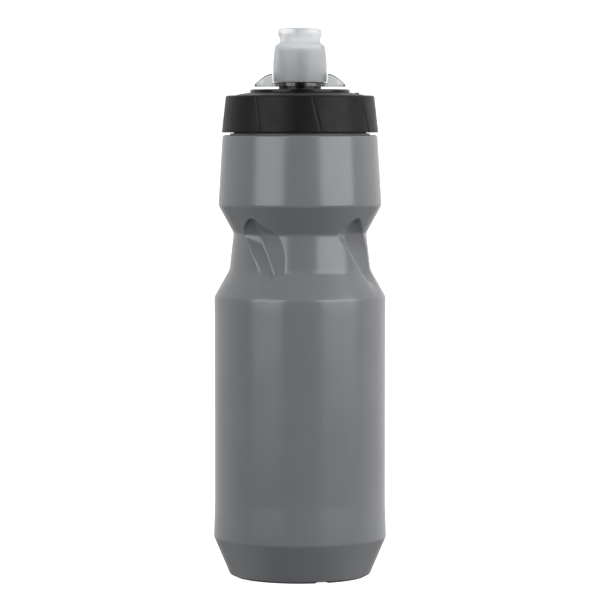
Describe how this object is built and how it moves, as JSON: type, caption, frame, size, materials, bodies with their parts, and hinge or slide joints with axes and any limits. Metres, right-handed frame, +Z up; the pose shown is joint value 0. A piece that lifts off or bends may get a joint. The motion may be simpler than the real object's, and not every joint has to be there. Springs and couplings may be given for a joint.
{
  "type": "sports squeeze bottle",
  "caption": "Waisted plastic squeeze bottle with a screw lid, a quarter-turn winged nozzle and a soft self-sealing bite valve.",
  "frame": {"origin": "centre of the foot ring, on the surface that the bottle stands on", "axes": "+Z up along the bottle's axis, towards the bite valve; -Y is the front; the nozzle's wings point along X when open"},
  "size_m": [0.0742, 0.0742, 0.2353],
  "materials": {
    "body_plastic": "satin squeeze-grade polyethylene, mid grey",
    "lid_plastic": "satin black polypropylene",
    "gasket_rubber": "soft pale silicone",
    "spout_plastic": "semi-gloss black polypropylene",
    "o_ring_rubber": "black rubber",
    "clear_plastic": "clear copolyester",
    "valve_silicone": "translucent soft silicone"
  },
  "bodies": {
    "bottle": {"bottle": "body_plastic"},
    "lid_carrier": {"lid_gasket": "gasket_rubber"},
    "lid": {"lid_shell": "lid_plastic", "spout_base": "spout_plastic"},
    "nozzle_carrier": {"nozzle_o_ring": "o_ring_rubber"},
    "nozzle": {"lock_dial": "clear_plastic", "bite_valve": "valve_silicone"}
  },
  "joints": [
    {"name": "lid_rise", "type": "slide", "parent": "bottle", "child": "lid_carrier", "axis": [0, 0, 1], "range_m": [0, 0.01502]},
    {"name": "lid_turn", "type": "hinge", "parent": "lid_carrier", "child": "lid", "pos_m": [0, 0, 0.198], "axis": [0, 0, 1], "range_deg": [0, 900]},
    {"name": "nozzle_rise", "type": "slide", "parent": "lid", "child": "nozzle_carrier", "axis": [0, 0, 1], "range_m": [-0.00112, 0]},
    {"name": "nozzle_turn", "type": "hinge", "parent": "nozzle_carrier", "child": "nozzle", "pos_m": [0, 0, 0.21], "axis": [0, 0, 1], "range_deg": [-90, 0]}
  ],
  "couplings": [
    {"joint": "lid_rise", "follows": "lid_turn", "m_per_rad": 0.00095493},
    {"joint": "nozzle_rise", "follows": "nozzle_turn", "m_per_rad": 0.00070028}
  ]
}
